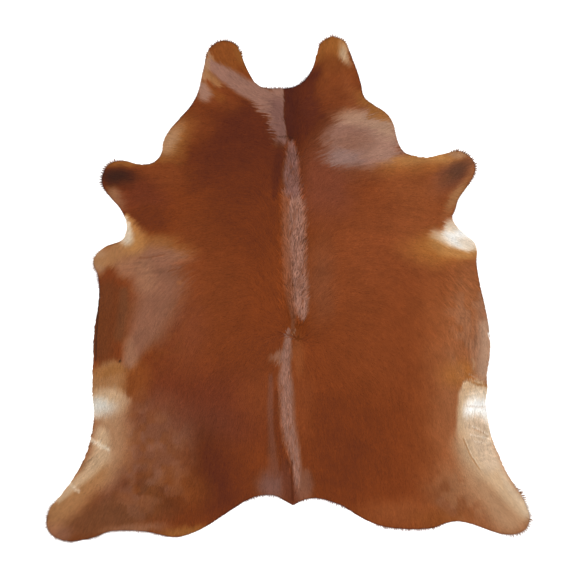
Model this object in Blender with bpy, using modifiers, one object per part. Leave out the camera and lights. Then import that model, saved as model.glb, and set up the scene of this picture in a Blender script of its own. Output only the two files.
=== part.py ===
"""A cow's hide, tanned with its hair on and laid out flat with the hair side up.

It is one closed piece: the leather and its short lying coat together, cut to the outline of the skin. The neck is at +Y,
the four legs point to the corners, the root of the tail is at -Y and the flesh side lies on Z = 0. Metres, +Z up.
"""

import math

import bmesh
import bpy
from mathutils import Vector

# Thicknesses of the hide
LEATHER = 0.002
COAT = 0.0022
SHEET = LEATHER + COAT

# The sheet is modelled from square cells, inside a blank that is larger than the hide
CELL = 0.032
BLANK_WIDTH = 2.30
BLANK_LENGTH = 2.40
EDGE_STEPS = 4
CUTTER_DEPTH = 0.05

# The edge of the skin, clockwise from the middle of the neck as seen from above, one row for each stretch: (x, y) points.
# The origin of these sizes is on the spine, near the middle of the hide.
EDGE = {
    "neck notch": [(-0.105, 0.875), (-0.035, 0.872), (0.015, 0.875)],
    "right cheek": [
        (0.062, 0.897), (0.092, 0.932), (0.110, 0.975), (0.127, 1.030), (0.145, 1.070), (0.175, 1.090), (0.192, 1.097),
        (0.220, 1.090), (0.242, 1.080), (0.262, 1.048), (0.280, 1.003), (0.302, 0.945), (0.318, 0.890), (0.332, 0.835),
    ],
    "right shoulder": [(0.367, 0.805), (0.432, 0.760), (0.458, 0.718), (0.471, 0.665), (0.488, 0.618), (0.512, 0.590)],
    "right foreleg": [
        (0.545, 0.580), (0.595, 0.573), (0.660, 0.586), (0.740, 0.600), (0.775, 0.587), (0.805, 0.557), (0.815, 0.522),
        (0.805, 0.487), (0.772, 0.435), (0.740, 0.387), (0.728, 0.345),
    ],
    "right armpit": [(0.715, 0.310), (0.728, 0.280), (0.762, 0.245), (0.802, 0.213), (0.819, 0.180)],
    "right flank": [
        (0.820, 0.115), (0.836, 0.015), (0.855, -0.070), (0.876, -0.180), (0.880, -0.245), (0.875, -0.310),
        (0.866, -0.375), (0.870, -0.420), (0.862, -0.485), (0.870, -0.550),
    ],
    "right hind leg": [
        (0.888, -0.640), (0.920, -0.727), (0.962, -0.813), (1.018, -0.900), (1.036, -0.945), (1.050, -0.987),
        (1.041, -1.030), (1.015, -1.057), (0.945, -1.067), (0.893, -1.055), (0.835, -1.034), (0.785, -1.018),
        (0.737, -1.011),
    ],
    "right buttock": [
        (0.684, -1.020), (0.636, -1.038), (0.575, -1.043), (0.488, -1.042), (0.423, -1.034), (0.358, -1.013),
        (0.293, -0.978), (0.249, -0.949),
    ],
    "right rump": [(0.205, -0.930), (0.140, -0.912), (0.097, -0.911), (0.055, -0.923)],
    "root of the tail": [(0.024, -0.941)],
    "left rump": [(-0.012, -0.922), (-0.055, -0.899), (-0.112, -0.898), (-0.164, -0.912)],
    "left buttock": [
        (-0.229, -0.950), (-0.290, -0.990), (-0.355, -1.032), (-0.403, -1.056), (-0.473, -1.078), (-0.512, -1.078),
        (-0.556, -1.068), (-0.621, -1.055), (-0.708, -1.051), (-0.782, -1.056),
    ],
    "left hind leg": [
        (-0.834, -1.077), (-0.904, -1.094), (-0.965, -1.096), (-1.017, -1.074), (-1.043, -1.040), (-1.047, -0.996),
        (-1.030, -0.948), (-0.991, -0.900), (-0.930, -0.818), (-0.882, -0.726), (-0.856, -0.639),
    ],
    "left flank": [
        (-0.843, -0.552), (-0.851, -0.422), (-0.847, -0.265), (-0.843, -0.178), (-0.830, -0.100), (-0.821, -0.030),
        (-0.821, 0.026), (-0.830, 0.074), (-0.843, 0.104),
    ],
    "left armpit": [(-0.838, 0.143), (-0.795, 0.187), (-0.760, 0.200), (-0.725, 0.214), (-0.703, 0.244), (-0.699, 0.274)],
    "left foreleg": [
        (-0.712, 0.318), (-0.730, 0.352), (-0.764, 0.391), (-0.795, 0.431), (-0.808, 0.470), (-0.799, 0.509),
        (-0.782, 0.539), (-0.734, 0.557), (-0.699, 0.557), (-0.643, 0.544), (-0.599, 0.544),
    ],
    "left shoulder": [
        (-0.569, 0.561), (-0.547, 0.596), (-0.543, 0.631), (-0.525, 0.674), (-0.499, 0.709), (-0.464, 0.748),
        (-0.425, 0.792), (-0.399, 0.835), (-0.382, 0.883),
    ],
    "left cheek": [
        (-0.373, 0.927), (-0.360, 0.983), (-0.351, 1.022), (-0.329, 1.057), (-0.299, 1.074), (-0.269, 1.079),
        (-0.225, 1.061), (-0.203, 1.027), (-0.182, 0.974), (-0.155, 0.922), (-0.134, 0.892),
    ],
}
SHARP_STRETCHES = ("root of the tail",)

# Where the hide doesn't lie quite flat, and its edge or a wave of it lifts off the floor:
# name, centre x, centre y, reach, height
LIFTS = (
    ("tip of the left cheek", -0.300, 1.100, 0.100, 0.0050),
    ("tip of the right cheek", 0.190, 1.120, 0.100, 0.0060),
    ("left foreleg", -0.830, 0.500, 0.110, 0.0060),
    ("right foreleg", 0.850, 0.560, 0.110, 0.0065),
    ("left armpit", -0.870, 0.150, 0.090, 0.0040),
    ("left flank, upper wave", -0.860, -0.090, 0.110, 0.0050),
    ("left flank, lower wave", -0.880, -0.420, 0.120, 0.0045),
    ("right armpit", 0.850, 0.170, 0.090, 0.0050),
    ("right flank, upper wave", 0.900, -0.060, 0.100, 0.0060),
    ("right flank, middle wave", 0.930, -0.285, 0.100, 0.0070),
    ("right flank, lower wave", 0.910, -0.560, 0.100, 0.0050),
    ("left hind foot", -1.060, -1.080, 0.140, 0.0080),
    ("right hind foot", 1.070, -1.040, 0.130, 0.0080),
    ("left buttock", -0.500, -1.110, 0.090, 0.0040),
    ("right buttock", 0.560, -1.070, 0.090, 0.0040),
)

# Where the coat stands fuller or lies thinner along a line: name, x and y of both ends, half width, height
COAT_FOLDS = (
    ("ridge of the shoulders", 0.025, 0.640, 0.050, 0.220, 0.055, 0.0032),
    ("ridge of the back", 0.050, 0.220, 0.035, -0.180, 0.065, 0.0040),
    ("line of the loins", 0.020, -0.230, -0.010, -0.520, 0.045, 0.0016),
    ("line of the rump", -0.005, -0.520, 0.020, -0.900, 0.050, 0.0012),
    ("left side of the neck", -0.075, 0.860, -0.075, 0.680, 0.050, 0.0014),
    ("right side of the neck", 0.050, 0.860, 0.045, 0.680, 0.050, 0.0012),
    ("crease of the neck", -0.020, 0.870, -0.018, 0.660, 0.035, -0.0012),
)

COAT_BROWN = (0.16, 0.048, 0.018, 1.0)


def swell(distance, reach):
    """A soft bump: 1 in the middle and 0 with no slope at its reach."""
    if distance >= reach:
        return 0.0
    return 0.5 + 0.5 * math.cos(math.pi * distance / reach)


def distance_to_line(x, y, x0, y0, x1, y1):
    start = Vector((x0, y0))
    along = Vector((x1, y1)) - start
    share = (Vector((x, y)) - start).dot(along) / along.length_squared
    nearest = start + along * min(1.0, max(0.0, share))
    return (Vector((x, y)) - nearest).length


def underside(x, y):
    """The height of the flesh side, 0 where the hide lies on the floor."""
    return max(height * swell(math.hypot(x - cx, y - cy), reach) for name, cx, cy, reach, height in LIFTS)


def coat_rise(x, y):
    """What the coat adds to the sheet's thickness."""
    rise = 0.0
    for name, x0, y0, x1, y1, half_width, height in COAT_FOLDS:
        rise += height * swell(distance_to_line(x, y, x0, y0, x1, y1), half_width)
    return rise


def collection(name):
    new = bpy.data.collections.new(name)
    bpy.context.scene.collection.children.link(new)
    return new


def leather_material():
    material = bpy.data.materials.new("brown hair-on leather")
    material.use_nodes = True
    shader = material.node_tree.nodes["Principled BSDF"]
    shader.inputs["Base Color"].default_value = COAT_BROWN
    shader.inputs["Roughness"].default_value = 0.55
    shader.inputs["Metallic"].default_value = 0.0
    return material


def outline_cutter(cutters):
    """A tall prism of the skin's outline, which trims the blank."""
    curve = bpy.data.curves.new("outline", "CURVE")
    curve.dimensions = "2D"
    curve.fill_mode = "BOTH"
    curve.extrude = CUTTER_DEPTH / 2
    curve.resolution_u = EDGE_STEPS
    spline = curve.splines.new("BEZIER")
    spline.use_cyclic_u = True
    points = [(stretch, x, y) for stretch, row in EDGE.items() for x, y in row]
    spline.bezier_points.add(len(points) - 1)
    for knot, (stretch, x, y) in zip(spline.bezier_points, points):
        knot.co = (x, y, 0.0)
        handle = "VECTOR" if stretch in SHARP_STRETCHES else "AUTO"
        knot.handle_left_type = handle
        knot.handle_right_type = handle
    drawn = bpy.data.objects.new("outline curve", curve)
    cutters.objects.link(drawn)
    bpy.context.view_layer.update()
    mesh = bpy.data.meshes.new_from_object(drawn.evaluated_get(bpy.context.evaluated_depsgraph_get()))
    bpy.data.objects.remove(drawn)
    bm = bmesh.new()
    bm.from_mesh(mesh)
    bmesh.ops.remove_doubles(bm, verts=bm.verts, dist=0.0001)
    bmesh.ops.recalc_face_normals(bm, faces=bm.faces)
    bm.to_mesh(mesh)
    bm.free()
    cutter = bpy.data.objects.new("outline", mesh)
    cutter.hide_render = True
    cutter.display_type = "WIRE"
    cutters.objects.link(cutter)
    return cutter


def trimmed_blank(cutter, home):
    """A flat sheet of square cells, with the outline cut out of it."""
    mesh = bpy.data.meshes.new("blank")
    bm = bmesh.new()
    bmesh.ops.create_grid(
        bm, x_segments=round(BLANK_WIDTH / CELL), y_segments=round(BLANK_LENGTH / CELL), size=0.5
    )
    bmesh.ops.scale(bm, vec=(BLANK_WIDTH, BLANK_LENGTH, 1.0), verts=bm.verts)
    bm.to_mesh(mesh)
    bm.free()
    blank = bpy.data.objects.new("blank", mesh)
    home.objects.link(blank)
    thicken = blank.modifiers.new("thickness", "SOLIDIFY")
    thicken.thickness = SHEET
    thicken.offset = 0.0
    trim = blank.modifiers.new("trim", "BOOLEAN")
    trim.operation = "INTERSECT"
    trim.solver = "EXACT"
    trim.object = cutter
    bpy.context.view_layer.update()
    trimmed = bpy.data.meshes.new_from_object(blank.evaluated_get(bpy.context.evaluated_depsgraph_get()))
    bpy.data.objects.remove(blank)
    return trimmed


def shape(mesh):
    """Gives the flat sheet its lifted edges and its fuller lines of coat, and centres it."""
    bm = bmesh.new()
    bm.from_mesh(mesh)
    bmesh.ops.dissolve_degenerate(bm, edges=bm.edges, dist=0.0001)
    xs = [vertex.co.x for vertex in bm.verts]
    ys = [vertex.co.y for vertex in bm.verts]
    middle_x = (min(xs) + max(xs)) / 2
    middle_y = (min(ys) + max(ys)) / 2
    for vertex in bm.verts:
        x, y, z = vertex.co
        floor_gap = underside(x, y)
        height = floor_gap + SHEET + coat_rise(x, y) if z > 0 else floor_gap
        vertex.co = (x - middle_x, y - middle_y, height)
    bmesh.ops.triangulate(bm, faces=bm.faces)
    bm.to_mesh(mesh)
    bm.free()


def main():
    for old in list(bpy.data.objects):
        bpy.data.objects.remove(old, do_unlink=True)
    parts = collection("leather hide")
    cutters = collection("cutters")
    cutter = outline_cutter(cutters)
    mesh = trimmed_blank(cutter, parts)
    shape(mesh)
    mesh.name = "hide"
    mesh.materials.clear()
    mesh.materials.append(leather_material())
    mesh.shade_smooth()
    mesh.set_sharp_from_angle(angle=math.radians(40))
    hide = bpy.data.objects.new("hide", mesh)
    parts.objects.link(hide)


main()
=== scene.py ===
"""The looks of a brown cowhide that lies flat with its hair side up.

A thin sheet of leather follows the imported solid, and locks of short hair cover it: each lock is a small
ridged blade that lies along the way the hair grows. Colours and directions come from short tables in the
hide's own sizes, in metres, with +X to the right, +Y towards the neck and +Z up.
"""

import math

import bmesh
import bpy
import numpy as np
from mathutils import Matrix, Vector
from mathutils.bvhtree import BVHTree
from mathutils.geometry import delaunay_2d_cdt
from mathutils.kdtree import KDTree


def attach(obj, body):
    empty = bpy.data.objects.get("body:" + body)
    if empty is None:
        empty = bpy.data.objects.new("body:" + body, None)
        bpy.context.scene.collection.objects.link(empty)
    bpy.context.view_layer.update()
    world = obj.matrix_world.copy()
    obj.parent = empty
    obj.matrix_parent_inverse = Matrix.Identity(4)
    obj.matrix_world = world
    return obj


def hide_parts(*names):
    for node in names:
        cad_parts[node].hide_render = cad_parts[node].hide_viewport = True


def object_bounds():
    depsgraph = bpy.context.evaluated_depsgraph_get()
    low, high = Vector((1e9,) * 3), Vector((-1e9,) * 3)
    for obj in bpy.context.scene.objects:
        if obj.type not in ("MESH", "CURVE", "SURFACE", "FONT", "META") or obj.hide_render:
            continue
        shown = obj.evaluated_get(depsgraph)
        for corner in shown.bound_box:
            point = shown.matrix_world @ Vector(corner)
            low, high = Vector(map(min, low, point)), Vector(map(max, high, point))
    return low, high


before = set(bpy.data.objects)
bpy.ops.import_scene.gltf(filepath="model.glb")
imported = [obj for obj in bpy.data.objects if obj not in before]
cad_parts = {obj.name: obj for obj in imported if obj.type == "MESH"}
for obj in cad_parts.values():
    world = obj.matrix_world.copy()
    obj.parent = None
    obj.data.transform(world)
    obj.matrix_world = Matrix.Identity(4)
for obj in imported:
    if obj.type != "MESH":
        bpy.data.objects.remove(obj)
CAD_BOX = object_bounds()
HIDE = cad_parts["hide"]

# Skin. The gap at its rim is a share of a cell.
LEATHER = 0.0020
SOLID_SHEET = 0.0042
SKIN_CELL = 0.018
SKIN_RIM_GAP = 0.6
SKIN_INSET = 0.0024
EDGE_ROUNDING = 0.0006
RIM_STEP = 0.008
NET_TOLERANCE = 1e-7
# Share of the coat's colour on the skin's top: painted shade down between the locks.
UNDERCOAT_SHADE = 0.74
FLESH_STOPS = ((0.3, "B9AA97"), (0.7, "D6CBBB"))

# Coat. Turns are in degrees. The jitter is a share of the pitch. The shoulder, and the place whose colour a
# lock shows, are shares of its length. A pair is the range of a random factor.
LOCK_PITCH = 0.0030
LOCK_JITTER = 0.45
LOCK_LENGTH = 0.020
LOCK_LENGTHS = (0.75, 1.25)
LOCK_WIDTH = 0.0027
LOCK_WIDTHS = (0.8, 1.2)
LOCK_SHOULDER = 0.45
LOCK_SHOWS = 0.65
LOCK_RIDGE = 0.0004
LOCK_SINK = 0.0006
LOCK_TURN = 5.0
CLUMP_TURN = 6.0
CLUMP_SIZE = 0.012
ROOT_INSET = 0.0004
ROOT_DEPTH = 0.0001
LEAST_COAT = 0.0008
OVERHANG = 0.0030
EDGE_DROOP = 0.0012
EDGE_TRIALS = 14
EDGE_CUT = 0.86
HAIRS_IN_A_LOCK = 5.0
HAIR_WAVES = 1.2
STRANDS = 64
GROWTH_REACH = 0.03

# Colour of the coat. Softness is the width of a smooth edge, as a share of what it surrounds.
COAT_GAIN = 0.91
HAIR_TONES = (0.86, 1.14)
GLOSS_VEIL = 0.0095
DARKEST = 0.0015
COMB_REACH = 0.003
COMB_SCATTER = 0.0015
COMB_CELL = 0.0042
COMB_RUN = 0.020
COMB_SOFTNESS = 0.6
CLOUD_SOFTNESS = 1.4
CLOUD_PLACE_SOFTNESS = 1.2
WRINKLE_SHADE = 180.0
STREAK_STEPS = 9
STREAK_LIMIT = 2.2
LOCK_SCATTER = 0.042
RIM_DARKENING = 0.22
RIM_DARK_WIDTH = 0.0035
RIM_SOFTNESS = 0.8
PALE_RED = 0.60
PALE_SOFTNESS = 0.3

# Wrinkles: width and run of their streaks as shares of the spacing, and how softly their places end
RIPPLE_CELL = 0.3
RIPPLE_RUN = 1.5
RIPPLE_SOFTNESS = 1.0

# Longer tufts of the ridge, and the hairs of the edge's teeth. The shoulder, the knee and the place that gives
# the colour are shares of the length, and the lifts are shares of the rise.
TUFT_LENGTH = 0.034
TUFT_LENGTHS = (0.7, 1.25)
TUFT_WIDTHS = (0.7, 1.3)
TUFT_LIFTS = (0.5, 1.2)
TUFT_TURN = 7.0
TUFT_SHOULDER = 0.35
TUFT_KNEE = 0.7
TUFT_SHOWS = 0.6
SHOULDER_LIFT = 0.3
TIP_LIFT = 0.4
TUFT_SCATTER = 0.04
TUFT_CELL = 0.0045
TUFT_RUN = 0.012
TUFT_SHADE = "chestnut"
TUFT_SHADING = 2.0
TUFT_GLEAM = 0.5
RIDGE_LOOKS = {"width": 0.0034, "rise": 0.0010, "bend": 0.05, "tone": 1.08, "streak": 0.11}
RIM_LOOKS = {"width": 0.0026, "rise": 0.0004, "bend": 0.01, "tone": 0.86, "streak": 0.0}
TOOTH_STEP = 0.0098
TOOTH_SHIFT = 0.0012
TOOTH_HALF = 0.0030
TOOTH_ROOT = 0.0005
TOOTH_DEPTH = 0.0040
TOOTH_BLUNT = 0.0007
TOOTH_LEAN = 0.5
TOOTH_HEIGHTS = (0.7, 1.2)
TOOTH_SOFTNESS = 0.5
HAIRS_IN_A_TOOTH = 7

# The points of a hair: place across and along the strand, tone. Then the points at its triangles' corners.
# The lower tone at the root is painted shade under the hair that lies over it.
LOCK_POINTS = (
    (0.5, 0.0, 0.80),
    (0.0, LOCK_SHOULDER, 0.97),
    (1.0, LOCK_SHOULDER, 0.97),
    (0.5, 1.0, 1.03),
)
LOCK_FACES = ((0, 2, 3), (0, 3, 1))
# Here too the lower tone at the root is painted shade.
TUFT_POINTS = (
    (0.5, 0.0, 0.80),
    (0.0, TUFT_SHOULDER, 0.94),
    (1.0, TUFT_SHOULDER, 0.94),
    (0.5, TUFT_KNEE, 1.00),
    (0.5, 1.0, 1.04),
)
TUFT_FACES = ((0, 2, 3), (0, 3, 1), (1, 3, 4), (3, 2, 4))

# How the edges of patches waver: reach, size of a wave, seed across, seed along
WAVERS = (
    (0.012, 0.09, 21, 23),
    (0.006, 0.03, 22, 24),
)

# How the colour varies all over: strength, size of a blotch, seed
MOTTLE = (
    (0.030, 0.070, 25),
    (0.025, 0.022, 26),
)

# Streaks along the growth: strength, width, run, seed
STREAKS = (
    (0.012, 0.0035, 0.014, 52),
    (0.010, 0.011, 0.045, 53),
)

# Seeds of the other random draws. Ripples and clouds count up from theirs.
SEEDS = {
    "locks": 11, "ripples": 30, "skin": 41, "roots": 42, "clumps": 43, "combing": 51, "tuft streaks": 54,
    "ridge": 60, "ridge tufts": 61, "teeth": 62, "tooth hairs": 63, "clouds": 80,
}

# Charts of the solid's heights, and how its mesh is read. Their end keeps a place inside the last cell.
CHART_STEP = 0.005
CHART_MARGIN = 0.03
CHART_END = 1.001
CHART_X = np.arange(CAD_BOX[0].x - CHART_MARGIN, CAD_BOX[1].x + CHART_MARGIN, CHART_STEP)
CHART_Y = np.arange(CAD_BOX[0].y - CHART_MARGIN, CAD_BOX[1].y + CHART_MARGIN, CHART_STEP)
BORDER_STEP = 0.002
WELD = 0.00001
WALL_SLOPE = 0.5
RAY_START = 1.0
NOISE_TABLE = 1024
TINY = 1e-9
FAR = 9.0

# Camera and light: the frame's side is the width of floor that it shows
LENS = 60.0
SENSOR = 36.0
FRAME_SIDE = 2.4795
FRAME_MIDDLE = (-0.0131, 0.0174)
FLOOR_SIZE = 12.0
FLOOR_GAP = 0.0003
FLOOR_GREY = 0.93
FLOOR_GLOW = 0.30
WORLD_LIGHT = 0.65
WHITE = (1.0, 1.0, 1.0, 1.0)
SUNS = (
    # name, height above the floor and azimuth counted from +X in degrees, strength, softness in degrees
    ("main light", 48.0, 130.0, 2.0, 16.0),
    ("fill light", 55.0, -20.0, 0.95, 30.0),
)

# The coat is split into pieces, to keep each mesh small: name, lowest and highest x, lowest and highest y
COAT_PIECES = (
    ("coat_front", -2.0, 2.0, 0.42, 2.0),
    ("coat_left", -2.0, 0.03, -0.48, 0.42),
    ("coat_right", 0.03, 2.0, -0.48, 0.42),
    ("coat_rump_left", -2.0, 0.0, -2.0, -0.48),
    ("coat_rump_right", 0.0, 2.0, -2.0, -0.48),
)

# Colours of the hair, as sRGB hex
# Mauve, mauve pale, lilac and blush are painted sheen: the grey-pink light that the glossy hair reflects.
PALETTE = {
    "rust": "7A3B1B",
    "rust red": "6F3520",
    "rust light": "874524",
    "rust warm": "7F4020",
    "red brown": "7B412C",
    "dark chestnut": "5F2C15",
    "chestnut": "6B3317",
    "plum brown": "6C3825",
    "deep brown": "532714",
    "hazel": "874A22",
    "orange brown": "8F4E2A",
    "golden brown": "98602F",
    "copper": "995F3C",
    "amber": "A46631",
    "ochre": "B47D48",
    "tan": "AC8260",
    "beige": "C6A684",
    "cream": "DECAB2",
    "white": "F8F4EE",
    "mauve": "966C5C",
    "mauve pale": "A27A68",
    "mauve brown": "8D5E48",
    "mauve umber": "82513B",
    "mauve dark": "754635",
    "mauve plum": "7C564D",
    "grey brown": "5A3A2B",
    "black brown": "3C2416",
    "umber": "70442A",
    "honey": "A2724A",
    "fawn": "9A6B50",
    "cocoa": "6C3A1E",
    "blush": "B08A70",
    "ash": "D2CEC4",
    "sand": "D0B498",
    "ivory": "F3E2CE",
    "lilac": "98766C",
}

BASE = "rust"
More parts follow.
